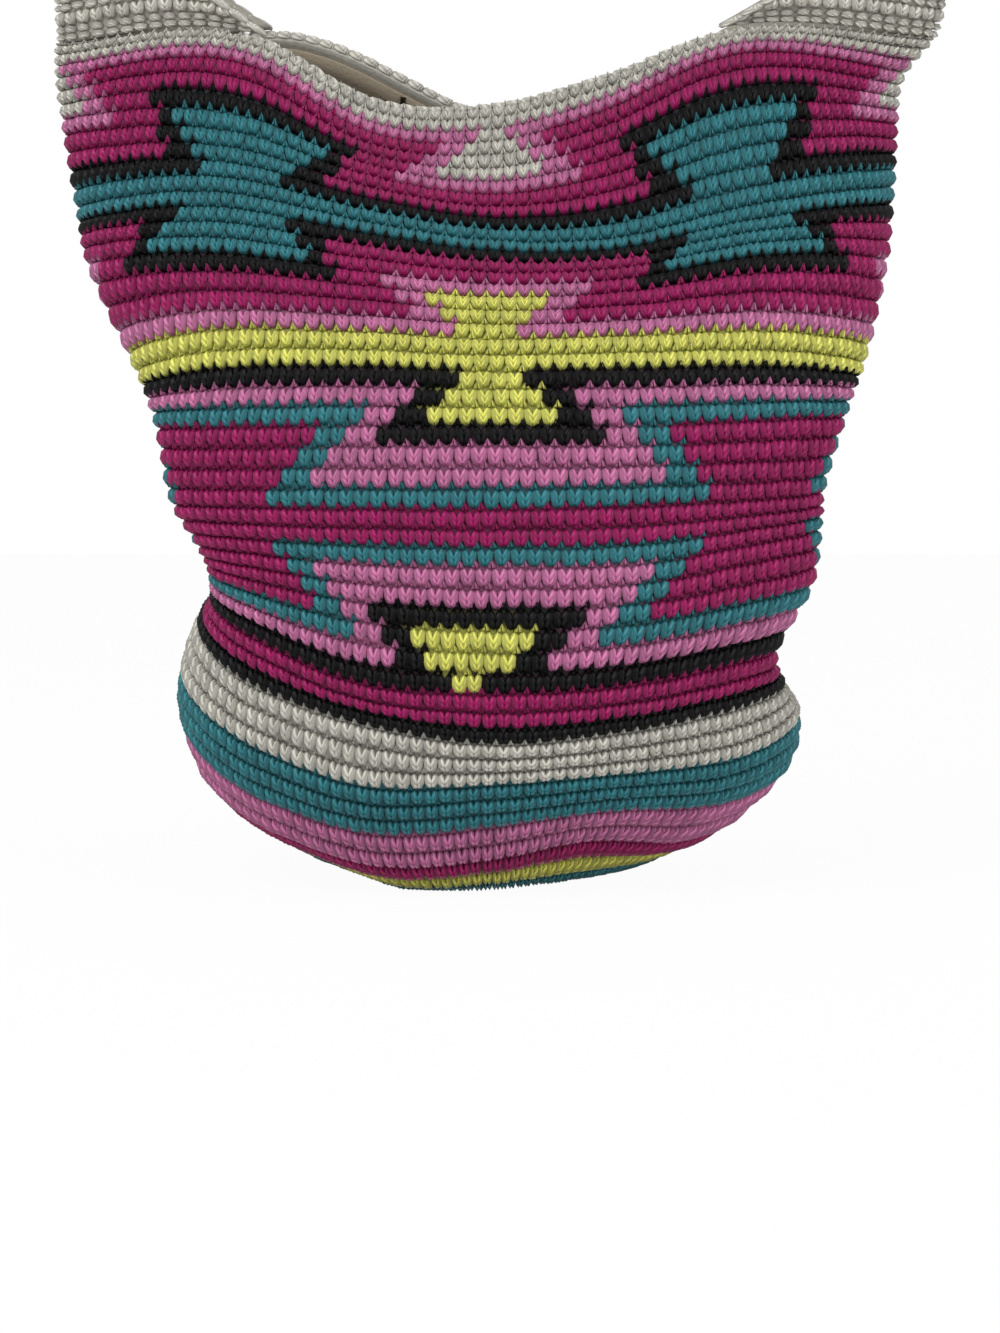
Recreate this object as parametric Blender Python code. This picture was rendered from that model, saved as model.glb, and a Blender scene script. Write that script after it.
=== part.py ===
"""Crocheted hobo bag: a soft bucket of worked rounds, a fabric lining and a shoulder strap.

Metres, +Z up, front towards -Y. The bag stands on the flat middle of its base at z = 0.
Rounds are counted from the rim (0) down to the base, stitches from the front centre (0) both ways.
"""
import math

import bmesh
import bpy
import numpy as np

# Driving sizes
RIM_HEIGHT = 0.285
LEFT_HALF_WIDTH = 0.161
RIGHT_HALF_WIDTH = 0.165
HALF_DEPTH = 0.113
CROCHET_WALL = 0.005
LINING_WALL = 0.001
FIT_GAP = 0.0003
BACK_RIM_RISE = 0.009
SIDE_FOLD_DEPTH = 0.54
SIDE_FOLD_SWELL = 0.215
SEAM_HEIGHT = 0.410
STRAP_RADIUS = 0.172
STRAP_WIDTH = 0.055
# The left side hangs straight below the strap, so the bag's front centre is off the middle.
FRONT_CENTRE_X = LEFT_HALF_WIDTH - STRAP_RADIUS

# Stitches and rounds
STITCHES_PER_ROUND = 144
HALF_ROUND = STITCHES_PER_ROUND // 2
STITCH_STEP = 3
SHOULDER_START = 18
SHOULDER_END = 54
SHOULDER_STEPS = 6
STRAP_STEPS = 40
LINING_TOP_ROUND = 1

# The sagging form, in millimetres, one line for each round where it changes: round; height at the
# front centre, nine stitches left and right of it, a quarter left and right, side left and right;
# half width left and right; half depth; how far the side is folded in (0 none, 1 full).
FORM = [
    (0, 285, 287, 296, 309, 312, 309, 311, 161, 165, 24, 0.0),
    (3, 271, 274, 282, 298, 301, 296, 298, 161, 154, 38, 0.0),
    (7, 251, 258, 258, 273, 274, 275, 279, 158, 151, 55, 0.0),
    (11, 234, 241, 235, 251, 246, 248, 256, 156, 152, 70, 0.05),
    (15, 218, 223, 220, 229, 228, 226, 228, 155, 153, 85, 0.15),
    (20, 193, 195, 194, 195, 195, 183, 188, 136, 144, 101, 0.4),
    (24, 168, 168, 168, 167, 170, 166, 171, 123, 131, 109, 0.8),
    (28, 139, 139, 140, 139, 142, 139, 146, 114, 120, 112, 1.0),
    (31, 119, 120, 120, 123, 127, 126, 133, 105, 119, 113, 1.0),
    (34, 97, 100, 99, 109, 106, 124, 115, 101, 116, 113, 1.0),
    (37, 75, 78, 77, 93, 83, 122, 91, 102, 105, 112, 0.9),
    (40, 57, 63, 60, 75, 66, 111, 78, 112, 113, 110, 0.5),
    (43, 42, 41, 45, 53, 48, 87, 68, 120, 120, 105, 0.3),
    (46, 26, 23, 31, 33, 31, 65, 45, 119, 114, 95, 0.2),
    (48, 13, 10, 19, 19, 17, 42, 25, 110, 94, 84, 0.1),
    (50, 3, 2, 6, 10, 8, 21, 12, 87, 71, 68, 0.0),
    (52, 0, 0, 1, 1, 1, 4, 3, 60, 54, 54, 0.0),
    (54, 0, 0, 0, 0, 0, 0, 0, 45, 45, 40, 0.0),
]
MESH_ROUNDS = [0, 1, 3, 5, 7, 9, 11, 13, 15, 17.5, 20, 22, 24, 26, 28, 31, 34, 37, 40, 43, 46, 48,
               50, 52, 54]
HEIGHT_STOPS = np.array([-90, -72, -54, -36, -18, -9, 0, 9, 18, 36, 54, 72, 90], dtype=float)
BACK_RISE_LAST_ROUND = 12
BACK_RISE_FROM = 48


def clear_scene():
    for item in list(bpy.data.objects):
        bpy.data.objects.remove(item, do_unlink=True)


def smooth_value(keys, values, place):
    """Cubic curve through hand-set values, flat past both ends."""
    place = min(max(place, keys[0]), keys[-1])
    slopes = np.gradient(values, keys)
    index = min(int(np.searchsorted(keys, place, side="right")) - 1, len(keys) - 2)
    span = keys[index + 1] - keys[index]
    t = (place - keys[index]) / span
    start = (1 + 2 * t) * (1 - t) ** 2 * values[index] + t * (1 - t) ** 2 * span * slopes[index]
    end = t * t * (3 - 2 * t) * values[index + 1] + t * t * (t - 1) * span * slopes[index + 1]
    return start + end


FORM_ROUNDS = np.array([line[0] for line in FORM], dtype=float)
FORM_COLUMNS = [np.array([line[k] for line in FORM], dtype=float) for k in range(1, 12)]


def form_at(round_number):
    """Heights, half widths, half depth and side fold of one round, in metres."""
    raw = [smooth_value(FORM_ROUNDS, values, round_number) for values in FORM_COLUMNS]
    heights = [max(value, 0.0) * RIM_HEIGHT / FORM[0][1] for value in raw[:7]]
    left = raw[7] * LEFT_HALF_WIDTH / FORM[0][8]
    right = raw[8] * RIGHT_HALF_WIDTH / FORM[0][9]
    depth = raw[9] * HALF_DEPTH / max(line[10] for line in FORM)
    return heights, left, right, depth, max(raw[10], 0.0)


def half_section(half_width, depth, fold):
    """Stitch places from front centre to back centre of one half, evenly spaced along the cloth."""
    angle = np.linspace(0.0, math.pi, 241)
    side = np.sin(angle)
    x = half_width * ((1 + SIDE_FOLD_SWELL * fold) * side - SIDE_FOLD_DEPTH * fold * side ** 16)
    y = -depth * np.cos(angle)
    length = np.concatenate([[0.0], np.cumsum(np.hypot(np.diff(x), np.diff(y)))])
    return x, y, length / length[-1]


def bag_point(stitch, round_number):
    """Outer face of the crochet at one stitch (-72 to 72) of one round."""
    heights, left, right, depth, fold = form_at(round_number)
    half_width = left if stitch < 0 else right
    x, y, share = half_section(half_width, depth, fold)
    along = abs(stitch) / HALF_ROUND
    px = math.copysign(float(np.interp(along, share, x)), stitch)
    py = float(np.interp(along, share, y))
    front, near_left, near_right, quarter_left, quarter_right, side_left, side_right = heights
    levels = np.array([quarter_right, front, quarter_left, side_left, quarter_left, near_left, front,
                       near_right, quarter_right, side_right, quarter_right, front, quarter_left])
    pz = smooth_value(HEIGHT_STOPS, levels, stitch)
    back_share = (abs(stitch) - BACK_RISE_FROM) / (HALF_ROUND - BACK_RISE_FROM)
    if stitch < 0 and back_share > 0 and round_number < BACK_RISE_LAST_ROUND:
        fade = 1 - round_number / BACK_RISE_LAST_ROUND
        pz += BACK_RIM_RISE * fade * math.sin(math.pi * back_share)
    return (FRONT_CENTRE_X + px, py, max(pz, 0.0))


def shoulder_point(side, stitch, climb):
    """Outer face of a shoulder: climb 0 is the rim round, 1 is the seam with the strap."""
    x0, y0, z0 = bag_point(side * stitch, 0)
    across = (stitch - SHOULDER_START) / (SHOULDER_END - SHOULDER_START)
    x1 = side * STRAP_RADIUS
    y1 = STRAP_WIDTH * (across - 0.5)
    turn = 1 - (1 - climb) ** 2
    return (x0 + (x1 - x0) * turn, y0 + (y1 - y0) * turn, z0 + (SEAM_HEIGHT - z0) * climb)


def crochet_sheet():
    """The outer face as one open sheet; rounds and stitches give the rows and columns of faces."""
    sheet = bmesh.new()
    stitches = list(range(-HALF_ROUND, HALF_ROUND, STITCH_STEP))
    grid = []
    for round_number in MESH_ROUNDS:
        ring = [sheet.verts.new(bag_point(stitch, round_number)) for stitch in stitches]
        grid.append(ring)
    count = len(stitches)
    for upper, lower in zip(grid, grid[1:]):
        for i in range(count):
            j = (i + 1) % count
            sheet.faces.new((upper[i], lower[i], lower[j]))
            sheet.faces.new((upper[i], lower[j], upper[j]))
    sheet.faces.new(list(reversed(grid[-1])))
    seams = []
    for side in (-1, 1):
        below = []
        for stitch in range(SHOULDER_START, SHOULDER_END + 1, STITCH_STEP):
            below.append(grid[0][stitches.index(side * stitch)])
        for step in range(1, SHOULDER_STEPS + 1):
            above = []
            for k in range(len(below)):
                stitch = SHOULDER_START + k * STITCH_STEP
                climb = step / SHOULDER_STEPS
                above.append(sheet.verts.new(shoulder_point(side, stitch, climb)))
            for k in range(len(below) - 1):
                for corners in (
                    (below[k], below[k + 1], above[k + 1]),
                    (below[k], above[k + 1], above[k]),
                ):
                    sheet.faces.new(corners if side > 0 else tuple(reversed(corners)))
            below = above
        seams.append((side, below))
    sheet.normal_update()
    inward = {vert: -vert.normal.copy() for vert in sheet.verts}
    for vert in grid[-1]:
        inward[vert] = vert.normal * 0
        inward[vert].z = 1.0
    for side, row in seams:
        for vert in row:
            inward[vert] = vert.normal * 0
            inward[vert].x = -side
    return sheet, grid, inward


def closed_shell(name, faces, inward, outer_depth, inner_depth, material):
    """A closed body between two depths under the outer face."""
    body = bmesh.new()
    outer = {}
    inner = {}
    for face in faces:
        for vert in face.verts:
            if vert not in outer:
                outer[vert] = body.verts.new(vert.co + inward[vert] * outer_depth)
                inner[vert] = body.verts.new(vert.co + inward[vert] * inner_depth)
    for face in faces:
        body.faces.new([outer[vert] for vert in face.verts])
        body.faces.new([inner[vert] for vert in reversed(face.verts)])
    kept = set(faces)
    for face in faces:
        for loop in face.loops:
            touching = [other for other in loop.edge.link_faces if other in kept]
            if len(touching) == 1:
                a = loop.vert
                b = loop.link_loop_next.vert
                body.faces.new((outer[b], outer[a], inner[a], inner[b]))
    bmesh.ops.recalc_face_normals(body, faces=body.faces)
    return add_object(name, body, material)


def add_object(name, shape, material):
    mesh = bpy.data.meshes.new(name)
    shape.to_mesh(mesh)
    shape.free()
    mesh.shade_smooth()
    mesh.set_sharp_from_angle(angle=math.radians(50))
    item = bpy.data.objects.new(name, mesh)
    item.data.materials.append(material)
    bpy.context.scene.collection.objects.link(item)
    return item


def principled(name, color, roughness):
    material = bpy.data.materials.new(name)
    material.use_nodes = True
    shader = material.node_tree.nodes["Principled BSDF"]
    shader.inputs["Base Color"].default_value = (*color, 1.0)
    shader.inputs["Roughness"].default_value = roughness
    shader.inputs["Metallic"].default_value = 0.0
    return material


def make_strap(material):
    """A flat crocheted band, arched from one shoulder seam to the other."""
    band = bmesh.new()
    sections = []
    for step in range(STRAP_STEPS + 1):
        angle = math.pi * (1 - step / STRAP_STEPS)
        section = []
        for radius, y in (
            (STRAP_RADIUS, -STRAP_WIDTH / 2),
            (STRAP_RADIUS, STRAP_WIDTH / 2),
            (STRAP_RADIUS - CROCHET_WALL, STRAP_WIDTH / 2),
            (STRAP_RADIUS - CROCHET_WALL, -STRAP_WIDTH / 2),
        ):
            height = SEAM_HEIGHT + FIT_GAP + radius * math.sin(angle)
            section.append(band.verts.new((radius * math.cos(angle), y, height)))
        sections.append(section)
    for first, second in zip(sections, sections[1:]):
        for i in range(4):
            j = (i + 1) % 4
            band.faces.new((first[i], first[j], second[j], second[i]))
    band.faces.new(sections[0])
    band.faces.new(list(reversed(sections[-1])))
    bmesh.ops.recalc_face_normals(band, faces=band.faces)
    return add_object("strap", band, material)


def build():
    clear_scene()
    yarn = principled("patterned_yarn", (0.39, 0.011, 0.11), 0.5)
    bone = principled("bone_yarn", (0.58, 0.56, 0.48), 0.5)
    taupe = principled("lining_fabric", (0.30, 0.25, 0.18), 0.75)
    sheet, grid, inward = crochet_sheet()
    closed_shell("crochet_body", list(sheet.faces), inward, 0.0, CROCHET_WALL, yarn)
    lined = set()
    for round_number, ring in zip(MESH_ROUNDS, grid):
        if round_number >= LINING_TOP_ROUND:
            lined.update(ring)
    lining_faces = [face for face in sheet.faces if all(vert in lined for vert in face.verts)]
    lining_outer = CROCHET_WALL + FIT_GAP
    closed_shell("lining", lining_faces, inward, lining_outer, lining_outer + LINING_WALL, taupe)
    sheet.free()
    make_strap(bone)


build()
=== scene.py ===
"""Crocheted hobo bag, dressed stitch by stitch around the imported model. Metres, +Z up, front -Y."""
import math

import bpy
import numpy as np
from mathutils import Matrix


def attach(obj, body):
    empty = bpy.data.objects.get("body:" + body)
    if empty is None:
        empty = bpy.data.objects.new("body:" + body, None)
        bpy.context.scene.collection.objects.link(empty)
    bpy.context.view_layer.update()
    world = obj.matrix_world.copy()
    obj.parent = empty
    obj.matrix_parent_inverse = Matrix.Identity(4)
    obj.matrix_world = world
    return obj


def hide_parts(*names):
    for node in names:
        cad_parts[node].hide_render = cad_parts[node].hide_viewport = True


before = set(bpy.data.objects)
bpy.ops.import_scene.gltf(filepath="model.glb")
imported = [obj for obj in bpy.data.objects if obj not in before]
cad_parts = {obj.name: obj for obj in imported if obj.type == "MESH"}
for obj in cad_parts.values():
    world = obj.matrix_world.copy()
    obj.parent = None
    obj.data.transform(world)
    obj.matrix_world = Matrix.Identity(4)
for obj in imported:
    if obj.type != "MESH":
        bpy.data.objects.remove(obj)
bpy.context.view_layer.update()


# The crocheted cloth of the bag: one soft bucket worked in rounds of 144 stitches from the base
# up to the rim. It sags at the sides and bulges over its base. Rounds are counted from the rim
# (0) down, and stitches both ways from the front centre (0).
RIM_HEIGHT = 0.285
LEFT_HALF_WIDTH = 0.161
RIGHT_HALF_WIDTH = 0.165
HALF_DEPTH = 0.113
FRONT_CENTRE_X = -0.011
BACK_RIM_RISE = 0.009
SIDE_FOLD_DEPTH = 0.54
SIDE_FOLD_SWELL = 0.215
HALF_ROUND = 72
LAST_ROUND = 51
# One line for each round where the form changes, in millimetres: round; height at the front
# centre, nine stitches left and right, a quarter left and right, side left and right; half
# width left and right; half depth; share of the full side fold.
FORM = [
    (0, 285, 287, 296, 309, 312, 309, 311, 161, 165, 24, 0.0),
    (3, 271, 274, 282, 298, 301, 296, 298, 161, 154, 38, 0.0),
    (7, 251, 258, 258, 273, 274, 275, 279, 158, 151, 55, 0.0),
    (11, 234, 241, 235, 251, 246, 248, 256, 156, 152, 70, 0.05),
    (15, 218, 223, 220, 229, 228, 226, 228, 155, 153, 85, 0.15),
    (20, 193, 195, 194, 195, 195, 183, 188, 136, 144, 101, 0.4),
    (24, 168, 168, 168, 167, 170, 166, 171, 123, 131, 109, 0.8),
    (28, 139, 139, 140, 139, 142, 139, 146, 114, 120, 112, 1.0),
    (31, 119, 120, 120, 123, 127, 126, 133, 105, 119, 113, 1.0),
    (34, 97, 100, 99, 109, 106, 124, 115, 101, 116, 113, 1.0),
    (37, 75, 78, 77, 93, 83, 122, 91, 102, 105, 112, 0.9),
    (40, 57, 63, 60, 75, 66, 111, 78, 112, 113, 110, 0.5),
    (43, 42, 41, 45, 53, 48, 87, 68, 120, 120, 105, 0.3),
    (46, 26, 23, 31, 33, 31, 65, 45, 119, 114, 95, 0.2),
    (48, 13, 10, 19, 19, 17, 42, 25, 110, 94, 84, 0.1),
    (50, 3, 2, 6, 10, 8, 21, 12, 87, 71, 68, 0.0),
    (52, 0, 0, 1, 1, 1, 4, 3, 60, 54, 54, 0.0),
    (54, 0, 0, 0, 0, 0, 0, 0, 45, 45, 40, 0.0),
]
# The widths and the depth that the lines above are drawn for.
DRAWN_LEFT = 161
DRAWN_RIGHT = 165
DRAWN_DEPTH = 113
HEIGHT_STOPS = np.array([-90, -72, -54, -36, -18, -9, 0, 9, 18, 36, 54, 72, 90], dtype=float)
BACK_RISE_LAST_ROUND = 12
BACK_RISE_FROM = 48
ROUND_STEP = 0.25
STITCH_STEP = 0.5


def smooth_values(keys, values, places):
    places = np.clip(places, keys[0], keys[-1])
    slopes = np.gradient(values, keys)
    index = np.minimum(np.searchsorted(keys, places, side="right") - 1, len(keys) - 2)
    span = keys[index + 1] - keys[index]
    t = (places - keys[index]) / span
    start = (1 + 2 * t) * (1 - t) ** 2 * values[index] + t * (1 - t) ** 2 * span * slopes[index]
    end = t * t * (3 - 2 * t) * values[index + 1] + t * t * (t - 1) * span * slopes[index + 1]
    return start + end


def half_section(half_width, depth, fold):
    angle = np.linspace(0.0, math.pi, 361)
    side = np.sin(angle)
    x = half_width * ((1 + SIDE_FOLD_SWELL * fold) * side - SIDE_FOLD_DEPTH * fold * side ** 16)
    y = -depth * np.cos(angle)
    length = np.concatenate([[0.0], np.cumsum(np.hypot(np.diff(x), np.diff(y)))])
    return x, y, length / length[-1]


def round_points(round_number, stitches):
    keys = np.array([line[0] for line in FORM], dtype=float)
    raw = [
        float(smooth_values(keys, np.array([line[k] for line in FORM], dtype=float), round_number))
        for k in range(1, 12)
    ]
    tall = RIM_HEIGHT / FORM[0][1]
    front, near_left, near_right, quarter_left, quarter_right, side_left, side_right = raw[:7]
    depth = raw[9] * HALF_DEPTH / DRAWN_DEPTH
    fold = max(raw[10], 0.0)
    levels = np.array([quarter_right, front, quarter_left, side_left, quarter_left, near_left, front,
                       near_right, quarter_right, side_right, quarter_right, front, quarter_left])
    z = smooth_values(HEIGHT_STOPS, np.maximum(levels, 0.0) * tall, stitches)
    back = (np.abs(stitches) - BACK_RISE_FROM) / (HALF_ROUND - BACK_RISE_FROM)
    rise = np.sin(math.pi * np.clip(back, 0, 1)) * BACK_RIM_RISE
    rise *= max(0.0, 1 - round_number / BACK_RISE_LAST_ROUND)
    z = np.maximum(z + np.where(stitches < 0, rise, 0.0), 0.0)
    along = np.abs(stitches) / HALF_ROUND
    lx, ly, left_share = half_section(raw[7] * LEFT_HALF_WIDTH / DRAWN_LEFT, depth, fold)
    rx, ry, right_share = half_section(raw[8] * RIGHT_HALF_WIDTH / DRAWN_RIGHT, depth, fold)
    is_left = stitches < 0
    x = np.where(is_left, -np.interp(along, left_share, lx), np.interp(along, right_share, rx))
    y = np.where(is_left, np.interp(along, left_share, ly), np.interp(along, right_share, ry))
    return np.stack([x + FRONT_CENTRE_X, y, z], axis=-1)


class Cloth:
    """A grid of points over (across, down), read between its points, with outward normals."""

    def __init__(self, points, across_range, down_range, wraps):
        self.points = points
        self.across_range = across_range
        self.down_range = down_range
        self.wraps = wraps
        along = np.gradient(points, axis=1)
        if wraps:
            along[:, 0] = along[:, -1] = (points[:, 1] - points[:, -2]) / 2
        down = np.gradient(points, axis=0)
        normal = np.cross(down, along)
        self.normals = normal / np.maximum(np.linalg.norm(normal, axis=-1, keepdims=True), 1e-12)

    def at(self, across, down, lift):
        rows, columns = self.points.shape[:2]
        low, high = self.across_range
        if self.wraps:
            across = (across - low) % (high - low) + low
        u = np.clip((across - low) / (high - low), 0, 1) * (columns - 1)
        low, high = self.down_range
        v = np.clip((down - low) / (high - low), 0, 1) * (rows - 1)
        i = np.minimum(v.astype(int), rows - 2)
        j = np.minimum(u.astype(int), columns - 2)
        s = (v - i)[..., None]
        t = (u - j)[..., None]
        parts = []
        for grid in (self.points, self.normals):
            upper = grid[i, j] * (1 - t) + grid[i, j + 1] * t
            lower = grid[i + 1, j] * (1 - t) + grid[i + 1, j + 1] * t
            parts.append(upper * (1 - s) + lower * s)
        return parts[0] + parts[1] * lift[..., None]


all_stitches = np.arange(-HALF_ROUND, HALF_ROUND + STITCH_STEP / 2, STITCH_STEP)
all_rounds = np.arange(0, FORM[-1][0] + ROUND_STEP / 2, ROUND_STEP)
bag_grid = np.stack([round_points(number, all_stitches) for number in all_rounds])
bag_cloth = Cloth(bag_grid, (-HALF_ROUND, HALF_ROUND), (0, FORM[-1][0]), True)


# One single crochet stitch, in nylon yarn about 2.4 mm thick: two plump legs that meet in a V at
# the bottom, and the top loop as a small arch that pokes up between the stitches above it.
# Sideways it is measured in stitches, downwards in rounds, and outwards in metres.
LEG_SIDES = 5
ARCH_SIDES = 4
LEG_LINE = [(0.26, -0.04), (0.285, 0.20), (0.23, 0.54), (0.14, 0.84), (0.06, 1.02)]
LEG_WIDTH = [0.255, 0.275, 0.215]
LEG_HEIGHT = [0.0015, 0.0018, 0.0014]
LEG_LIFT = [-0.0021, -0.0010, -0.0005, -0.0009, -0.0019]
ARCH_LINE = [(0.20, 0.12), (0.36, -0.04), (0.50, -0.32), (0.64, -0.04), (0.80, 0.12)]
ARCH_WIDTH = [0.13, 0.12, 0.13]
ARCH_HEIGHT = [0.0010, 0.0010, 0.0010]
ARCH_LIFT = [-0.0018, -0.0010, -0.0004, -0.0010, -0.0018]
STITCH_RATIO = 0.82


def bead(line, widths, heights, lifts, sides):
    """Corner places, faces and ply coordinates of one fat strand with pointed ends."""
    line = np.array(line, dtype=float)
    corners = [(*line[0], lifts[0])]
    plies = [(0.0, 0.0)]
    for k in range(1, len(line) - 1):
        run = (line[k + 1] - line[k - 1]) * np.array([STITCH_RATIO, 1.0])
        run = run / np.linalg.norm(run)
        cross = np.array([run[1] / STITCH_RATIO, -run[0]])
        for side in range(sides):
            angle = 2 * math.pi * side / sides + math.pi / 2
            u = line[k][0] + cross[0] * math.cos(angle) * widths[k - 1] * STITCH_RATIO
            v = line[k][1] + cross[1] * math.cos(angle) * widths[k - 1] * STITCH_RATIO
            corners.append((u, v, lifts[k] + math.sin(angle) * heights[k - 1]))
            plies.append((side / sides, k / (len(line) - 1)))
    corners.append((*line[-1], lifts[-1]))
    plies.append((0.0, 1.0))
    faces = []
    rings = len(line) - 2
    for side in range(sides):
        after = (side + 1) % sides
        faces.append((0, 1 + side, 1 + after))
        for ring in range(rings - 1):
            a = 1 + ring * sides
            b = a + sides
            faces.append((a + side, b + side, b + after, a + after))
        a = 1 + (rings - 1) * sides
        faces.append((len(corners) - 1, a + after, a + side))
    return np.array(corners), faces, np.array(plies)


def mirrored(strand):
    corners, faces, plies = strand
    flipped = corners.copy()
    flipped[:, 0] = -flipped[:, 0]
    return flipped, [tuple(reversed(face)) for face in faces], plies


def joined(strands):
    corners = []
    faces = []
    plies = []
    count = 0
    for places, polygons, ply in strands:
        corners.append(places)
        plies.append(ply)
        faces.extend([tuple(i + count for i in polygon) for polygon in polygons])
        count += len(places)
    return np.concatenate(corners), faces, np.concatenate(plies)


right_leg = bead(LEG_LINE, LEG_WIDTH, LEG_HEIGHT, LEG_LIFT, LEG_SIDES)
top_arch = bead(ARCH_LINE, ARCH_WIDTH, ARCH_HEIGHT, ARCH_LIFT, ARCH_SIDES)
STITCH = joined([right_leg, mirrored(right_leg), top_arch])


def mesh_object(name, corners, faces, material):
    mesh = bpy.data.meshes.new(name)
    mesh.from_pydata([tuple(corner) for corner in corners], [], faces)
    mesh.shade_smooth()
    item = bpy.data.objects.new(name, mesh)
    item.data.materials.append(material)
    bpy.context.scene.collection.objects.link(item)
    return item


def stitch_object(name, cloth, across, down, width, height, material, unit=STITCH, upright=False):
    """Copies the stitch to every place and bends each copy to the cloth.

    An upright stitch stands square to its row where the columns of the cloth lean. Under the bag
    the stitches are pressed flat where they stand.
    """
    corners, faces, plies = unit
    draw = np.random.default_rng(len(across) + len(name))
    count = len(across)
    swell = draw.uniform(0.94, 1.06, (count, 1))
    sway = draw.uniform(-0.035, 0.035, (count, 2))
    u = across[:, None] + (corners[None, :, 0] * swell + sway[:, :1]) * width[:, None]
    v = down[:, None] + (corners[None, :, 1] + sway[:, 1:]) * height[:, None]
    if upright:
        flat_lift = np.zeros(count)
        middle = down + height / 2
        along = (cloth.at(across + width / 2, middle, flat_lift)
                 - cloth.at(across - width / 2, middle, flat_lift))
        fall = cloth.at(across, down + height, flat_lift) - cloth.at(across, down, flat_lift)
        lean = -(fall * along).sum(axis=1) / (along * along).sum(axis=1) * width
        u = u + lean[:, None] * (corners[None, :, 1] - 0.5)
    lift = corners[None, :, 2] + draw.uniform(-0.00015, 0.00015, (count, 1))
    lift = np.broadcast_to(lift, u.shape)
    places = cloth.at(u, v, lift).reshape(-1, 3)
    places[:, 2] = np.maximum(places[:, 2], 0.0)
    sizes = np.array([len(face) for face in faces])
    flat = np.concatenate([np.array(face) for face in faces])
    starts = np.concatenate([[0], np.cumsum(sizes)[:-1]])
    loops = (np.arange(count)[:, None] * len(corners) + flat[None, :]).reshape(-1)
    loop_starts = (np.arange(count)[:, None] * len(flat) + starts[None, :]).reshape(-1)
    mesh = bpy.data.meshes.new(name)
    mesh.vertices.add(len(places))
    mesh.vertices.foreach_set("co", places.astype(np.float32).reshape(-1))
    mesh.loops.add(len(loops))
    mesh.loops.foreach_set("vertex_index", loops.astype(np.int32))
    mesh.polygons.add(len(loop_starts))
    mesh.polygons.foreach_set("loop_start", loop_starts.astype(np.int32))
    ply_map = mesh.uv_layers.new(name="ply")
    ply_map.data.foreach_set("uv", np.tile(plies[flat].reshape(-1), count).astype(np.float32))
    mesh.update(calc_edges=True)
    mesh.validate()
    mesh.shade_smooth()
    item = bpy.data.objects.new(name, mesh)
    item.data.materials.append(material)
    bpy.context.scene.collection.objects.link(item)
    return item


def dressed(item, slot, *nodes):
    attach(item, "root")
    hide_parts(*nodes)
    return item


# The yarn: shiny nylon cord of fine twisted plies. Each colour is one material with the same
# twist, painted shade between the plies, a slight unevenness in its dye and a satin sheen.
YARN_COLOURS = {
    "magenta": (0.395, 0.004, 0.128),
    "pink": (0.665, 0.205, 0.420),
    "teal": (0.031, 0.230, 0.270),
    "black": (0.003, 0.003, 0.004),
    "yellow": (0.820, 0.820, 0.170),
    "bone": (0.700, 0.680, 0.600),
}
DYE_UNEVENNESS = 0.22
SATIN_SHEEN = 0.04
SATIN_GLOSS = 0.35
BLACK_SHEEN = 0.0
BLACK_GLOSS = 0.2


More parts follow.
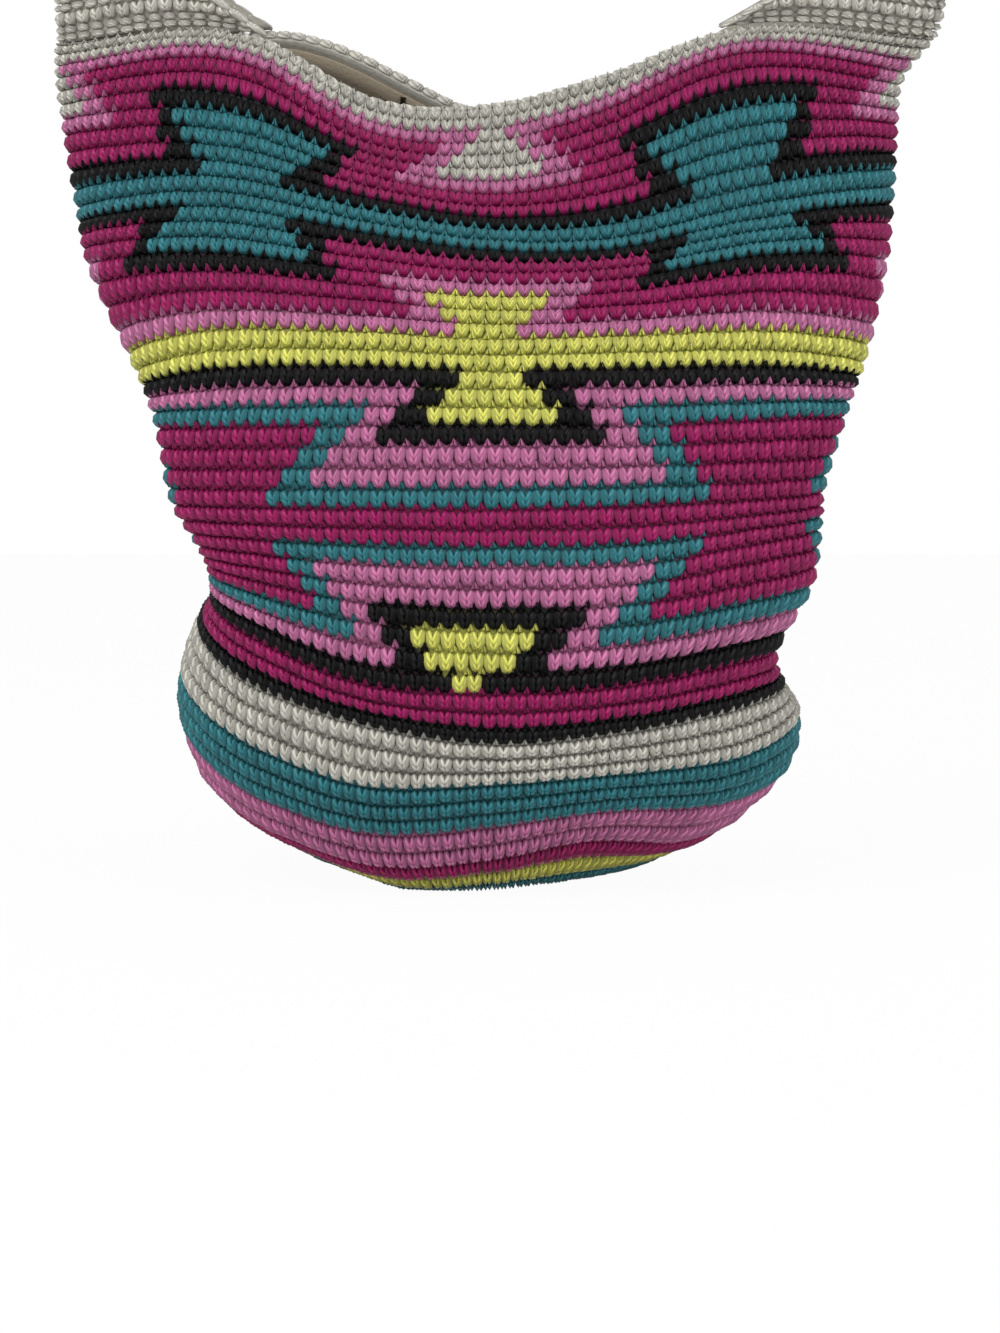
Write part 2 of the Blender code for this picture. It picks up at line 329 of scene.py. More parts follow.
def yarn_twist_group():
    group = bpy.data.node_groups.new("yarn_twist", "ShaderNodeTree")
    for name, kind, value in (
        ("Colour", "NodeSocketColor", (0.5, 0.5, 0.5, 1.0)),
        ("Dye Unevenness", "NodeSocketFloat", 0.18),
        ("Ply Depth", "NodeSocketFloat", 0.5),
    ):
        socket = group.interface.new_socket(name=name, in_out="INPUT", socket_type=kind)
        socket.default_value = value
    for name, kind in (("Colour", "NodeSocketColor"), ("Roughness", "NodeSocketFloat"),
                       ("Height", "NodeSocketFloat")):
        group.interface.new_socket(name=name, in_out="OUTPUT", socket_type=kind)
    nodes = group.nodes
    links = group.links
    given = nodes.new("NodeGroupInput")
    result = nodes.new("NodeGroupOutput")
    ply_map = nodes.new("ShaderNodeUVMap")
    ply_map.uv_map = "ply"
    stretch = nodes.new("ShaderNodeMapping")
    stretch.inputs["Rotation"].default_value = (0, 0, math.radians(38))
    stretch.inputs["Scale"].default_value = (2.4, 1.5, 1.0)
    plies = nodes.new("ShaderNodeTexWave")
    plies.inputs["Scale"].default_value = 1.0
    plies.inputs["Distortion"].default_value = 0.6
    links.new(ply_map.outputs["UV"], stretch.inputs["Vector"])
    links.new(stretch.outputs["Vector"], plies.inputs["Vector"])
    place = nodes.new("ShaderNodeTexCoord")
    cloudy = nodes.new("ShaderNodeTexNoise")
    cloudy.inputs["Scale"].default_value = 130
    cloudy.inputs["Detail"].default_value = 2
    links.new(place.outputs["Object"], cloudy.inputs["Vector"])
    shade = nodes.new("ShaderNodeMapRange")
    shade.inputs["From Min"].default_value = 0.3
    shade.inputs["From Max"].default_value = 0.7
    links.new(cloudy.outputs["Fac"], shade.inputs["Value"])
    darkest = nodes.new("ShaderNodeMath")
    darkest.operation = "SUBTRACT"
    darkest.inputs[0].default_value = 1.0
    links.new(given.outputs["Dye Unevenness"], darkest.inputs[1])
    links.new(darkest.outputs[0], shade.inputs["To Min"])
    shade.inputs["To Max"].default_value = 1.08
    # Painted shade and highlight: the colour is darker in the grooves between the plies and lighter
    # on their crowns.
    ply_painted_shade = nodes.new("ShaderNodeMapRange")
    ply_painted_shade.inputs["To Min"].default_value = 0.62
    ply_painted_shade.inputs["To Max"].default_value = 1.12
    links.new(plies.outputs["Fac"], ply_painted_shade.inputs["Value"])
    both = nodes.new("ShaderNodeMath")
    both.operation = "MULTIPLY"
    links.new(shade.outputs["Result"], both.inputs[0])
    links.new(ply_painted_shade.outputs["Result"], both.inputs[1])
    tint = nodes.new("ShaderNodeVectorMath")
    tint.operation = "SCALE"
    links.new(given.outputs["Colour"], tint.inputs["Vector"])
    links.new(both.outputs[0], tint.inputs["Scale"])
    links.new(tint.outputs["Vector"], result.inputs["Colour"])
    gloss = nodes.new("ShaderNodeMapRange")
    gloss.inputs["To Min"].default_value = 0.58
    gloss.inputs["To Max"].default_value = 0.42
    links.new(plies.outputs["Fac"], gloss.inputs["Value"])
    links.new(gloss.outputs["Result"], result.inputs["Roughness"])
    height = nodes.new("ShaderNodeMath")
    height.operation = "MULTIPLY"
    links.new(plies.outputs["Fac"], height.inputs[0])
    links.new(given.outputs["Ply Depth"], height.inputs[1])
    links.new(height.outputs[0], result.inputs["Height"])
    return group


yarn_twist = yarn_twist_group()


def yarn_material(name, colour, unevenness, sheen, gloss):
    material = bpy.data.materials.new(name)
    material.use_nodes = True
    nodes = material.node_tree.nodes
    links = material.node_tree.links
    shader = nodes["Principled BSDF"]
    twist = nodes.new("ShaderNodeGroup")
    twist.node_tree = yarn_twist
    twist.inputs["Colour"].default_value = (*colour, 1.0)
    twist.inputs["Dye Unevenness"].default_value = unevenness
    bump = nodes.new("ShaderNodeBump")
    bump.inputs["Distance"].default_value = 0.0004
    bump.inputs["Strength"].default_value = 1.0
    links.new(twist.outputs["Colour"], shader.inputs["Base Color"])
    links.new(twist.outputs["Roughness"], shader.inputs["Roughness"])
    links.new(twist.outputs["Height"], bump.inputs["Height"])
    links.new(bump.outputs["Normal"], shader.inputs["Normal"])
    shader.inputs["Sheen Weight"].default_value = sheen
    shader.inputs["Sheen Roughness"].default_value = 0.4
    shader.inputs["Specular IOR Level"].default_value = gloss
    return material


yarns = {}
for name, colour in YARN_COLOURS.items():
    sheen = BLACK_SHEEN if name == "black" else SATIN_SHEEN
    gloss = BLACK_GLOSS if name == "black" else SATIN_GLOSS
    yarns[name] = yarn_material(name + "_yarn", colour, DYE_UNEVENNESS, sheen, gloss)


# The pattern, worked in as the rounds go up: plain bands, and on them stepped figures that
# repeat every 36 stitches. A figure sits on the front centre (0) or half way between (18).
REPEAT = 36
BANDS = [
    (1, 2, "bone"), (3, 3, "pink"), (4, 9, "magenta"), (10, 10, "black"), (11, 12, "teal"),
    (13, 13, "black"), (14, 18, "magenta"), (19, 19, "pink"), (20, 21, "yellow"),
    (22, 22, "black"), (23, 23, "pink"), (24, 24, "teal"), (25, 34, "magenta"), (35, 35, "teal"),
    (36, 36, "pink"), (37, 37, "black"), (38, 39, "magenta"), (40, 40, "black"),
    (41, 43, "bone"), (44, 46, "teal"), (47, 48, "pink"), (49, 49, "magenta"),
    (50, 50, "yellow"), (51, 54, "teal"),
]
# centre, first round, last round, width in stitches at the first and at the last, colour
FIGURES = [
    (0, 4, 7, 9, 14, "pink"), (0, 3, 6, 3, 9, "bone"),
    (18, 6, 9, 16, 12, "black"), (18, 14, 16, 14, 16, "black"),
    (18, 7, 10, 12, 6, "teal"), (18, 13, 15, 8, 12, "teal"),
    (0, 16, 19, 14, 8, "pink"), (0, 17, 19, 8, 4, "yellow"),
    (0, 25, 28, 22, 28, "teal"), (0, 24, 27, 16, 22, "pink"), (0, 23, 25, 10, 14, "black"),
    (0, 22, 24, 4, 8, "yellow"),
    (0, 31, 34, 28, 22, "teal"), (0, 32, 35, 22, 16, "pink"), (0, 34, 36, 14, 10, "black"),
    (0, 35, 37, 8, 3, "yellow"),
]
LEAN_ROUNDS = np.array([0, 19, 23, 37, 54], dtype=float)
LEAN_STITCHES = np.array([0.2, -0.3, 0.2, -1.5, -1.8])


def round_colours(number):
    """The yarn colour of every stitch in one round."""
    stitches = np.arange(-HALF_ROUND, HALF_ROUND) + 0.5
    colours = np.full(len(stitches), "magenta", dtype="<U8")
    for first, last, colour in BANDS:
        if first <= number <= last:
            colours[:] = colour
    for centre, first, last, start_width, end_width, colour in FIGURES:
        if first <= number <= last:
            width = start_width + (end_width - start_width) * (number - first) / (last - first)
            away = np.abs((stitches - centre + REPEAT / 2) % REPEAT - REPEAT / 2)
            colours[away < width / 2] = colour
    return stitches, colours


# The first round is a little shorter, because the edging lies over its top.
EDGING_COVERS = 0.25
across = []
down = []
colours = []
for number in range(1, LAST_ROUND + 1):
    stitches, colour = round_colours(number)
    across.append(stitches + np.interp(number, LEAN_ROUNDS, LEAN_STITCHES))
    down.append(np.full(len(stitches), number - 1.0))
    colours.append(colour)
across = np.concatenate(across)
down = np.concatenate(down)
colours = np.concatenate(colours)
covered = np.where(down == 0, EDGING_COVERS, 0.0)
heights = 1 - covered
ones = np.ones(len(across))
MIDDLE_ROUND = 22
for colour in YARN_COLOURS:
    for part, rounds in (("upper", down < MIDDLE_ROUND), ("lower", down >= MIDDLE_ROUND)):
        chosen = (colours == colour) & rounds
        item = stitch_object(f"stitches_{colour}_{part}", bag_cloth, across[chosen],
                             (down + covered)[chosen], ones[chosen], heights[chosen],
                             yarns[colour])
        dressed(item, "patterned_yarn", "crochet_body")


# The base: the rounds go on inwards with fewer and fewer stitches, in teal, to a closed middle.
BASE_ROUND_WIDTH = 0.0068
BASE_STITCH_WIDTH = 0.0058
base_rim = round_points(LAST_ROUND, all_stitches)
base_middle = np.array([FRONT_CENTRE_X, 0.0, 0.0])
base_shares = np.linspace(1.0, 0.0, 41)
base_grid = []
for share in base_shares:
    ring = base_middle + (base_rim - base_middle) * share
    ring[:, 2] = base_rim[:, 2] * max(0.0, (share - 0.6) / 0.4) ** 1.6 + 0.0019
    base_grid.append(ring)
base_cloth = Cloth(np.stack(base_grid), (-HALF_ROUND, HALF_ROUND), (0, 1), True)
base_radius = 0.062
base_across = []
base_down = []
base_width = []
base_rounds = int(base_radius / BASE_ROUND_WIDTH)
for number in range(base_rounds):
    radius = base_radius - (number + 0.5) * BASE_ROUND_WIDTH
    count = max(5, round(2 * math.pi * radius / BASE_STITCH_WIDTH))
    step = 2 * HALF_ROUND / count
    base_across.append(-HALF_ROUND + (np.arange(count) + 0.5) * step)
    base_down.append(np.full(count, number / base_rounds))
    base_width.append(np.full(count, step))
base_across = np.concatenate(base_across)
base_down = np.concatenate(base_down)
base_width = np.concatenate(base_width)
base_height = np.full(len(base_across), 1 / base_rounds)
item = stitch_object("stitches_base", base_cloth, base_across, base_down, base_width, base_height,
                     yarns["teal"])
dressed(item, "patterned_yarn", "crochet_body")


# The shoulders: the bone cloth of the sides goes on upwards in shorter and shorter rows until it
# is as narrow as the strap. The rows are worked to and fro, so a row of Vs and a row of bars, the
# back of the stitch, take turns on both faces. Stitches are left out as the cloth narrows.
SEAM_HEIGHT = 0.410
STRAP_RADIUS = 0.172
STRAP_WIDTH = 0.055
SHOULDER_START = 18
SHOULDER_END = 54
ROW_HEIGHT = 0.0056
BONE_STITCH = 0.0056
CROCHET_WALL = 0.005
FACE_INSET = 0.0008
BAR_WIDTH = [0.25, 0.30, 0.25]
BAR_HEIGHT = [0.0014, 0.0018, 0.0014]
BAR_LIFT = [-0.0018, -0.0010, -0.0006, -0.0010, -0.0018]
upper_bar = bead([(-0.54, 0.36), (-0.3, 0.27), (0.0, 0.22), (0.3, 0.27), (0.54, 0.36)],
                 BAR_WIDTH, BAR_HEIGHT, BAR_LIFT, LEG_SIDES)
lower_bar = bead([(-0.54, 0.66), (-0.3, 0.72), (0.0, 0.77), (0.3, 0.72), (0.54, 0.66)],
                 BAR_WIDTH, BAR_HEIGHT, BAR_LIFT, LEG_SIDES)
FRONT_OF_STITCH = joined([right_leg, mirrored(right_leg)])
BACK_OF_STITCH = joined([upper_bar, lower_bar])


def shoulder_grid(side):
    spread = np.linspace(SHOULDER_START, SHOULDER_END, 73)
    base = round_points(0, side * spread)
    top = np.empty_like(base)
    top[:, 0] = side * STRAP_RADIUS
    top[:, 1] = STRAP_WIDTH * ((spread - SHOULDER_START) / (SHOULDER_END - SHOULDER_START) - 0.5)
    top[:, 2] = SEAM_HEIGHT
    rows = []
    for climb in np.linspace(1, 0, 61):
        turn = 1 - (1 - climb) ** 2
        row = base + (top - base) * turn
        row[:, 2] = base[:, 2] + (top[:, 2] - base[:, 2]) * climb
        rows.append(row if side > 0 else row[::-1])
    return np.stack(rows)


def rows_of_stitches(grid, row_height):
    """Places for evened-out rows of stitches that fill a grid, as high along its middle."""
    middle = grid[:, grid.shape[1] // 2]
    fallen = np.concatenate([[0.0], np.cumsum(np.linalg.norm(np.diff(middle, axis=0), axis=1))])
    rows = max(1, round(fallen[-1] / row_height))
    edges = np.interp(np.linspace(0, fallen[-1], rows + 1), fallen, np.linspace(0, 1, len(grid)))
    places = []
    for row, (top, bottom) in enumerate(zip(edges[:-1], edges[1:])):
        line = grid[int(round((top + bottom) / 2 * (len(grid) - 1)))]
        length = np.linalg.norm(np.diff(line, axis=0), axis=1).sum()
        count = max(4, round(length / BONE_STITCH))
        for k in range(count):
            places.append(((k + 0.5) / count, top, 1 / count, bottom - top, row % 2))
    return np.array(places)


def inner_face(cloth, columns, rows):
    """The same cloth read from inside, as points that run the other way across."""
    u, v = np.meshgrid(np.linspace(1, 0, columns), np.linspace(0, 1, rows))
    return cloth.at(u, v, np.full(u.shape, FACE_INSET - CROCHET_WALL))


for side, word in ((-1, "left"), (1, "right")):
    outer_grid = shoulder_grid(side)
    outer_cloth = Cloth(outer_grid, (0, 1), (0, 1), False)
    for face, grid in (("outer", outer_grid), ("inner", inner_face(outer_cloth, 73, 61))):
        cloth = Cloth(grid, (0, 1), (0, 1), False)
        places = rows_of_stitches(grid, ROW_HEIGHT)
        for kind, unit, row in (("vs", FRONT_OF_STITCH, 0), ("bars", BACK_OF_STITCH, 1)):
            a, d, width, height, _ = places[places[:, 4] == row].T
            item = stitch_object(f"shoulder_{word}_{face}_{kind}", cloth, a, d, width, height,
                                 yarns["bone"], unit, upright=True)
            dressed(item, "bone_yarn", "crochet_body")


# The edging: a last round of slip stitches in bone lies along every free edge as a plait. It
# runs round the mouth, up the edges of both shoulders and along the strap.
WALL_MIDDLE = -0.0025
EDGE_REACH = 0.004
EDGE_STITCH = 0.0059
EDGE_BEAD = bead(
    [(-0.72, -0.26), (-0.38, -0.17), (0.0, 0.0), (0.38, 0.17), (0.72, 0.26)],
    [0.50, 0.62, 0.50], [0.0019, 0.0024, 0.0019], [0.0, 0.0, 0.0, 0.0, 0.0], LEG_SIDES)


def edging(name, line, inside, slot, node):
    """A plait along a line of points; inside are the points just within the cloth."""
    outward = line - inside
    outward = outward / np.linalg.norm(outward, axis=1, keepdims=True) * EDGE_REACH
    length = np.linalg.norm(np.diff(line, axis=0), axis=1).sum()
    count = round(length / EDGE_STITCH)
    cloth = Cloth(np.stack([line + outward, line, line - outward]), (0, count), (-1, 1), False)
    one = np.ones(count)
    item = stitch_object(name, cloth, np.arange(count) + 0.5, 0.0 * one, one, one, yarns["bone"],
                         EDGE_BEAD)
    dressed(item, slot, node)


def cloth_edge(cloth, across, inner_across, down, inner_down):
    shape = np.broadcast(across, down).shape
    line = cloth.at(np.broadcast_to(across, shape), np.broadcast_to(down, shape),
                    np.full(shape, WALL_MIDDLE))
    inside = cloth.at(np.broadcast_to(inner_across, shape), np.broadcast_to(inner_down, shape),
                      np.full(shape, WALL_MIDDLE))
    return line, inside


UNDER_SHOULDER = 2
front_rim = np.arange(-SHOULDER_START - UNDER_SHOULDER, SHOULDER_START + UNDER_SHOULDER + 0.1, 0.5)
back_rim = np.arange(SHOULDER_END - UNDER_SHOULDER,
                     2 * HALF_ROUND - SHOULDER_END + UNDER_SHOULDER + 0.1, 0.5)
for word, stitches in (("front", front_rim), ("back", back_rim)):
    edging(f"edging_mouth_{word}", *cloth_edge(bag_cloth, stitches, stitches, 0.0, 1.0),
           "patterned_yarn", "crochet_body")
for side, word in ((-1, "left"), (1, "right")):
    cloth = Cloth(shoulder_grid(side), (0, 1), (0, 1), False)
    falls = np.linspace(0, 1, 61)
    for edge, edge_word in ((0.0, "one"), (1.0, "two")):
        edging(f"edging_shoulder_{word}_{edge_word}",
               *cloth_edge(cloth, edge, abs(edge - 0.04), falls, falls), "bone_yarn", "crochet_body")


# The strap: a band worked in rows across its width, ten stitches wide, sewn to both shoulders.
# It stands up in an arch, as when it is held.
FIT_GAP = 0.0003
STRAP_STITCHES = 10


def strap_grid(radius, facing):
    angles = np.linspace(math.pi, 0, 241)
    widths = np.linspace(-0.5, 0.5, 13) * (STRAP_WIDTH - 0.003)
    rows = []
    for angle in angles:
        row = np.empty((len(widths), 3))
        row[:, 0] = radius * math.cos(angle)
        row[:, 1] = widths if facing > 0 else -widths
        row[:, 2] = SEAM_HEIGHT + FIT_GAP + radius * math.sin(angle)
        rows.append(row)
    return np.stack(rows)


strap_rows = 2 * round(math.pi * STRAP_RADIUS / ROW_HEIGHT / 2)
for word, radius, facing in (
    ("outer", STRAP_RADIUS - FACE_INSET, 1),
    ("inner", STRAP_RADIUS - CROCHET_WALL + FACE_INSET, -1),
):
    cloth = Cloth(strap_grid(radius, facing), (0, 1), (0, 1), False)
    row, column = np.meshgrid(np.arange(strap_rows), np.arange(STRAP_STITCHES), indexing="ij")
    for kind, unit, parity in (("vs", FRONT_OF_STITCH, 0), ("bars", BACK_OF_STITCH, 1)):
        d = row[row % 2 == parity] / strap_rows
        a = (column[row % 2 == parity] + 0.5) / STRAP_STITCHES
        item = stitch_object(f"strap_{word}_{kind}", cloth, a, d,
                             np.full(len(a), 1 / STRAP_STITCHES), np.full(len(a), 1 / strap_rows),
                             yarns["bone"], unit)
        dressed(item, "bone_yarn", "strap")
strap_cloth = Cloth(strap_grid(STRAP_RADIUS, 1), (0, 1), (0, 1), False)
for edge, edge_word in ((0.0, "front"), (1.0, "back")):
    falls = np.linspace(0, 1, 181)
    edging(f"edging_strap_{edge_word}",
           *cloth_edge(strap_cloth, edge, abs(edge - 0.1), falls, falls), "bone_yarn", "strap")


# The inside of the crochet, seen between the stitches and above the lining: the same cloth from
# behind, where each round shows as a soft ridge. Its face between the stitches carries the
# pattern's colours darkened as painted shade.
BACKING_OUTER = -0.0017
RIDGE = 0.0005


def shell_object(name, cloth, across_places, down_places, outer, inner, material):
    """A closed sheet between two depths of a cloth, with its free edges turned in."""
    u, v = np.meshgrid(across_places, down_places)
    outer_points = cloth.at(u, v, np.broadcast_to(outer, u.shape))
    inner_points = cloth.at(u, v, np.broadcast_to(inner, u.shape))
    rows, columns = u.shape
    wrap = cloth.wraps
    width = columns - 1 if wrap else columns
    corners = np.concatenate([outer_points[:, :width].reshape(-1, 3),
                              inner_points[:, :width].reshape(-1, 3)])
    half = rows * width
    faces = []
    for i in range(rows - 1):
        for j in range(width if wrap else width - 1):
            k = (j + 1) % width
            a, b, c, d = i * width + j, (i + 1) * width + j, (i + 1) * width + k, i * width + k
            faces.append((a, b, c, d))
            faces.append((half + d, half + c, half + b, half + a))
    for j in range(width if wrap else width - 1):
        k = (j + 1) % width
        faces.append((j, k, half + k, half + j))
        a = (rows - 1) * width
        faces.append((a + k, a + j, half + a + j, half + a + k))
    if not wrap:
        for i in range(rows - 1):
            a, b = i * width, (i + 1) * width
            faces.append((b, a, half + a, half + b))
            a, b = a + width - 1, b + width - 1
            faces.append((a, b, half + b, half + a))
    return mesh_object(name, corners, faces, material)


def fibre_group():
    group = bpy.data.node_groups.new("soft_fibre", "ShaderNodeTree")
    for name, kind, value in (
        ("Colour", "NodeSocketColor", (0.5, 0.5, 0.5, 1.0)),
        ("Fibre Scale", "NodeSocketFloat", 600.0),
        ("Unevenness", "NodeSocketFloat", 0.25),
    ):
        socket = group.interface.new_socket(name=name, in_out="INPUT", socket_type=kind)
        socket.default_value = value
    group.interface.new_socket(name="Colour", in_out="OUTPUT", socket_type="NodeSocketColor")
    group.interface.new_socket(name="Height", in_out="OUTPUT", socket_type="NodeSocketFloat")
    nodes = group.nodes
    links = group.links
    given = nodes.new("NodeGroupInput")
    result = nodes.new("NodeGroupOutput")
    place = nodes.new("ShaderNodeTexCoord")
    fibre = nodes.new("ShaderNodeTexNoise")
    fibre.inputs["Detail"].default_value = 4
    links.new(place.outputs["Object"], fibre.inputs["Vector"])
    links.new(given.outputs["Fibre Scale"], fibre.inputs["Scale"])
    darkest = nodes.new("ShaderNodeMath")
    darkest.operation = "SUBTRACT"
    darkest.inputs[0].default_value = 1.0
    links.new(given.outputs["Unevenness"], darkest.inputs[1])
    tone = nodes.new("ShaderNodeMapRange")
    tone.inputs["To Max"].default_value = 1.15
    links.new(darkest.outputs[0], tone.inputs["To Min"])
    links.new(fibre.outputs["Fac"], tone.inputs["Value"])
    tint = nodes.new("ShaderNodeVectorMath")
    tint.operation = "SCALE"
    links.new(given.outputs["Colour"], tint.inputs["Vector"])
    links.new(tone.outputs["Result"], tint.inputs["Scale"])
    links.new(tint.outputs["Vector"], result.inputs["Colour"])
    links.new(fibre.outputs["Fac"], result.inputs["Height"])
    return group


soft_fibre = fibre_group()


def fibre_material(name, colour, fibre_scale, roughness, yarn_map=None):
    """Dull fibrous cloth in one colour, or in the colours that its mesh carries."""
    material = bpy.data.materials.new(name)
    material.use_nodes = True
    nodes = material.node_tree.nodes
    links = material.node_tree.links
    shader = nodes["Principled BSDF"]
    fibre = nodes.new("ShaderNodeGroup")
    fibre.node_tree = soft_fibre
    fibre.inputs["Colour"].default_value = (*colour, 1.0)
    fibre.inputs["Fibre Scale"].default_value = fibre_scale
    if yarn_map:
        carried = nodes.new("ShaderNodeAttribute")
        carried.attribute_name = yarn_map
        links.new(carried.outputs["Color"], fibre.inputs["Colour"])
    bump = nodes.new("ShaderNodeBump")
    bump.inputs["Distance"].default_value = 0.0003
    links.new(fibre.outputs["Colour"], shader.inputs["Base Color"])
    links.new(fibre.outputs["Height"], bump.inputs["Height"])
    links.new(bump.outputs["Normal"], shader.inputs["Normal"])
    shader.inputs["Roughness"].default_value = roughness
    return material


SHADE_BETWEEN_STITCHES = 0.4
yarn_behind_painted_shade = fibre_material("yarn_behind_painted_shade", (0.4, 0.4, 0.4), 600, 0.8, "yarn_colour_and_painted_shade")
backing_across = np.linspace(-HALF_ROUND, HALF_ROUND, 145)
backing_down = np.concatenate([np.arange(0, 4, 0.5), np.arange(4, 55, 1.0)])
wave = RIDGE * (1 - np.cos(2 * math.pi * backing_down))
item = shell_object("crochet_inside", bag_cloth, backing_across, backing_down, BACKING_OUTER,
                    -CROCHET_WALL + wave[:, None], yarn_behind_painted_shade)
backing_colours = []
for place in backing_down:
    number = min(int(place) + 1, LAST_ROUND)
    stitches, names = round_colours(number)
    shifted = np.round(stitches - 0.5 + np.interp(number, LEAN_ROUNDS, LEAN_STITCHES))
    order = (np.arange(-HALF_ROUND, HALF_ROUND) - shifted[0]).astype(int) % len(names)
    backing_colours.append(np.array([YARN_COLOURS[names[k]] for k in order]))
backing_colours = np.concatenate(backing_colours)
# Painted shade: the outer face, seen in the gaps between stitches, gets the pattern's colours at 0.4
# of their brightness; the inner face gets them at 0.85.
both_sides = np.concatenate([backing_colours * SHADE_BETWEEN_STITCHES, backing_colours * 0.85])
carried = item.data.color_attributes.new("yarn_colour_and_painted_shade", "FLOAT_COLOR", "POINT")
carried.data.foreach_set("color", np.c_[both_sides, np.ones(len(both_sides))].reshape(-1))
dressed(item, "patterned_yarn", "crochet_body")
# Painted shade: the cloth behind the bone stitches of the shoulders and strap is bone at about half
# its brightness, standing in for the shade in the gaps between stitches.
bone_behind_painted_shade = fibre_material("bone_behind_painted_shade", (0.36, 0.345, 0.29), 600, 0.75)
for side, word in ((-1, "left"), (1, "right")):
    cloth = Cloth(shoulder_grid(side), (0, 1), (0, 1), False)
    item = shell_object(f"shoulder_inside_{word}", cloth, np.linspace(0.0, 1.0, 37),
                        np.linspace(0, 1, 61), BACKING_OUTER, -CROCHET_WALL, bone_behind_painted_shade)
    dressed(item, "bone_yarn", "crochet_body")
item = shell_object("strap_core", strap_cloth, np.linspace(0.0, 1.0, 9), np.linspace(0, 1, 161),
                    -0.0018, -CROCHET_WALL + 0.0018, bone_behind_painted_shade)
dressed(item, "bone_yarn", "strap")


# The lining: a thin taupe cloth bag sewn in just under the rim, with one upright seam at the
# back. It is cut a little large, so it lies in soft wrinkles.
LINING_DEPTH = -0.0058
LINING_THICKNESS = 0.0007
LINING_TOP = 0.5
WRINKLE_DEPTH = 0.0016
NARROW_FOLD = 12
WIDE_FOLD = 36
LINING_SEAM_AT = -65.2
SEAM_WIDTH = 0.7
lining_fabric = fibre_material("lining_fabric", (0.36, 0.30, 0.22), 900, 0.85)
lining_across = np.linspace(-HALF_ROUND, HALF_ROUND, 109)
lining_down = np.arange(LINING_TOP, 53.1, 1.0)


def lining_depth(across, down):
    """How deep the outer face of the lining lies, deeper inside its wrinkles."""
    u, v = np.meshgrid(across, down)
    narrow = np.sin(2 * math.pi * u / NARROW_FOLD + 0.9 * np.sin(v / 4))
    wide = 0.6 * np.sin(2 * math.pi * u / WIDE_FOLD + v / 3)
    loose = np.clip((v - LINING_TOP) / 3, 0, 1)
    return LINING_DEPTH - WRINKLE_DEPTH * (narrow + wide + 1.6) / 3.2 * loose


depth = lining_depth(lining_across, lining_down)
item = shell_object("lining_cloth", bag_cloth, lining_across, lining_down, depth,
                    depth - LINING_THICKNESS, lining_fabric)
dressed(item, "lining_fabric", "lining")
seam_across = LINING_SEAM_AT + np.array([-0.5, 0.0, 0.5]) * SEAM_WIDTH
depth = lining_depth(seam_across, lining_down) - LINING_THICKNESS
item = shell_object("lining_seam", bag_cloth, seam_across, lining_down, depth + 0.0003,
                    depth - np.array([0.0002, 0.0013, 0.0002]), lining_fabric)
dressed(item, "lining_fabric", "lining")


# The studio: a white floor and surroundings, one large soft lamp from the upper left, a weaker
# one from the right, and the camera a little above the middle of the bag.
def seen_rays(nodes, links):
    """1 where the camera sees a surface straight, in a reflection or through glass."""
    rays = nodes.new("ShaderNodeLightPath")
    first = nodes.new("ShaderNodeMath")
    first.operation = "MAXIMUM"
    links.new(rays.outputs["Is Camera Ray"], first.inputs[0])
    links.new(rays.outputs["Is Glossy Ray"], first.inputs[1])
    both = nodes.new("ShaderNodeMath")
    both.operation = "MAXIMUM"
    links.new(first.outputs[0], both.inputs[0])
    links.new(rays.outputs["Is Transmission Ray"], both.inputs[1])
    return both.outputs[0]


def floor_material():
    material = bpy.data.materials.new("studio_white")
    material.use_nodes = True
    nodes = material.node_tree.nodes
    links = material.node_tree.links
    shader = nodes["Principled BSDF"]
    shader.inputs["Base Color"].default_value = (0.9, 0.9, 0.9, 1.0)
    shader.inputs["Roughness"].default_value = 0.9
    glow = nodes.new("ShaderNodeEmission")
    glow.inputs["Color"].default_value = (1.0, 1.0, 1.0, 1.0)
    mix = nodes.new("ShaderNodeMixShader")
    seen = seen_rays(nodes, links)
    part = nodes.new("ShaderNodeMath")
    part.operation = "MULTIPLY"
    part.inputs[1].default_value = 0.96
    links.new(seen, part.inputs[0])
    links.new(part.outputs[0], mix.inputs["Fac"])
    links.new(shader.outputs["BSDF"], mix.inputs[1])
    links.new(glow.outputs["Emission"], mix.inputs[2])
    links.new(mix.outputs["Shader"], nodes["Material Output"].inputs["Surface"])
    return material


FLOOR_SIZE = 6.0
corner = FLOOR_SIZE / 2
floor = mesh_object("studio_floor", np.array([(-corner, -corner, 0), (corner, -corner, 0),
                                              (corner, corner, 0), (-corner, corner, 0)]),
                    [(0, 1, 2, 3)], floor_material())

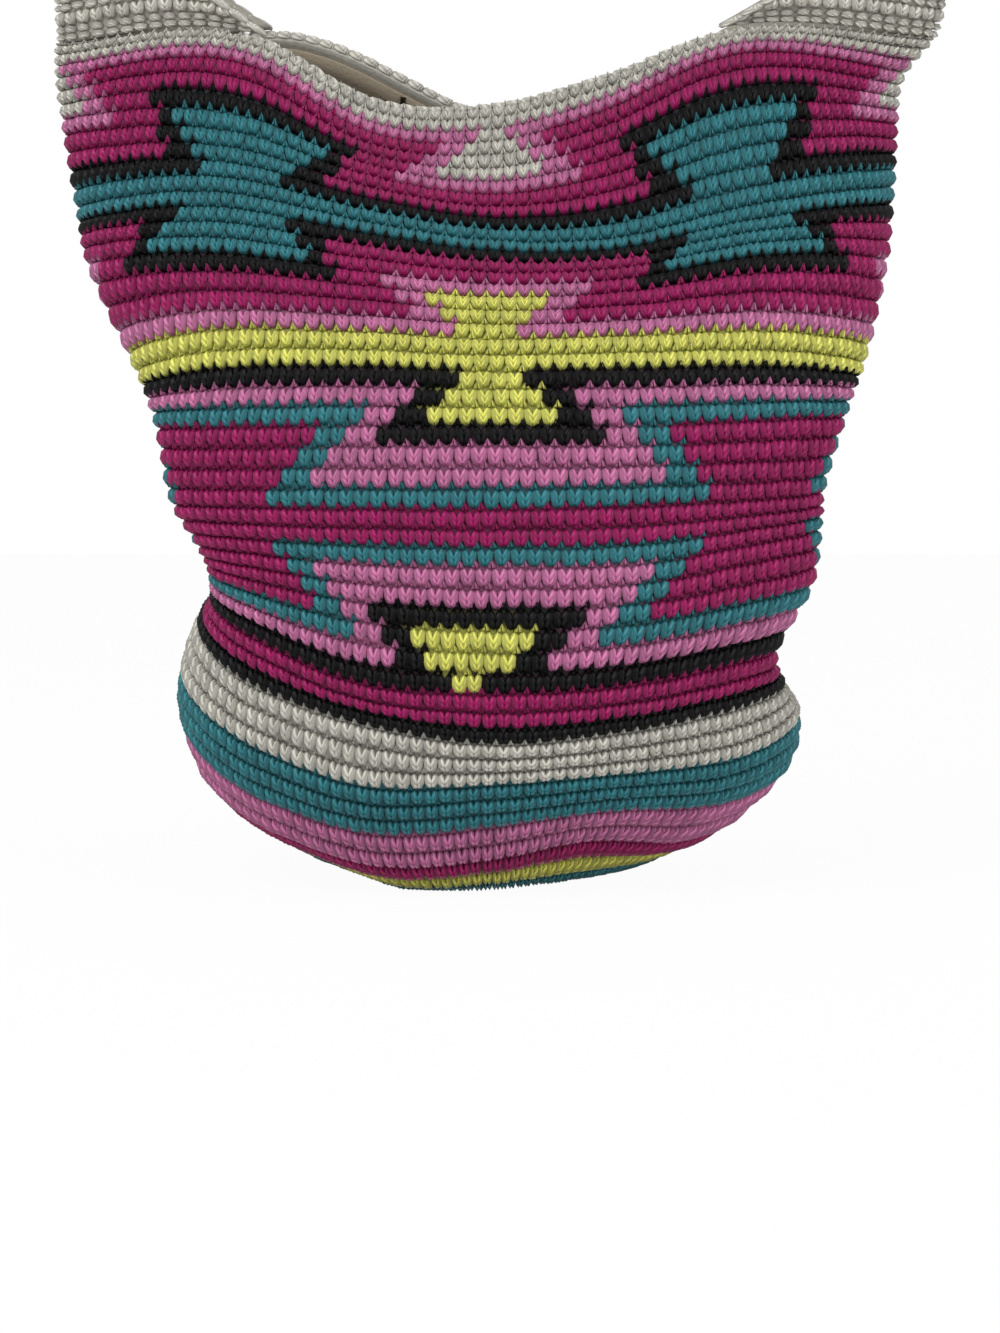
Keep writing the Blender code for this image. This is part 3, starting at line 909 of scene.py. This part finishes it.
world = bpy.data.worlds.new("studio")
bpy.context.scene.world = world
world.use_nodes = True
nodes = world.node_tree.nodes
links = world.node_tree.links
background = nodes["Background"]
background.inputs["Color"].default_value = (1.0, 1.0, 1.0, 1.0)
strength = nodes.new("ShaderNodeMapRange")
strength.inputs["To Min"].default_value = 0.55
strength.inputs["To Max"].default_value = 1.0
links.new(seen_rays(nodes, links), strength.inputs["Value"])
links.new(strength.outputs["Result"], background.inputs["Strength"])


def area_lamp(name, place, target, size, power):
    lamp = bpy.data.lights.new(name, "AREA")
    lamp.size = size
    lamp.energy = power
    item = bpy.data.objects.new(name, lamp)
    item.location = place
    aim = np.array(target) - np.array(place)
    item.rotation_euler = (
        math.atan2(math.hypot(aim[0], aim[1]), -aim[2]), 0.0, math.atan2(-aim[0], aim[1]))
    bpy.context.scene.collection.objects.link(item)
    return item


BAG_MIDDLE = (0.0, 0.0, 0.2)
area_lamp("key_lamp", (-0.9, -1.3, 1.6), BAG_MIDDLE, 1.2, 22)
area_lamp("fill_lamp", (1.4, -1.2, 0.9), BAG_MIDDLE, 1.4, 9)

PHOTO_MM_PER_PIXEL = 0.36
PHOTO_HEIGHT = 1333
FRAME_MIDDLE_X = 500
FRONT_CENTRE_PIXEL = 490
CAMERA_DISTANCE = 1.35
CAMERA_ELEVATION = math.radians(4)
AIM_DEPTH = -0.06
AIM_HEIGHT = 0.081
SENSOR = 36.0
frame_height = PHOTO_HEIGHT * PHOTO_MM_PER_PIXEL / 1000
lens = bpy.data.cameras.new("camera")
lens.sensor_fit = "VERTICAL"
lens.sensor_height = SENSOR
lens.lens = SENSOR * CAMERA_DISTANCE / frame_height
camera = bpy.data.objects.new("camera", lens)
aim_x = FRONT_CENTRE_X + (FRAME_MIDDLE_X - FRONT_CENTRE_PIXEL) * PHOTO_MM_PER_PIXEL / 1000
camera.location = (aim_x, AIM_DEPTH - CAMERA_DISTANCE * math.cos(CAMERA_ELEVATION),
                   AIM_HEIGHT + CAMERA_DISTANCE * math.sin(CAMERA_ELEVATION))
camera.rotation_euler = (math.pi / 2 - CAMERA_ELEVATION, 0.0, 0.0)
bpy.context.scene.collection.objects.link(camera)
bpy.context.scene.camera = camera
bpy.context.scene.view_settings.view_transform = "Standard"
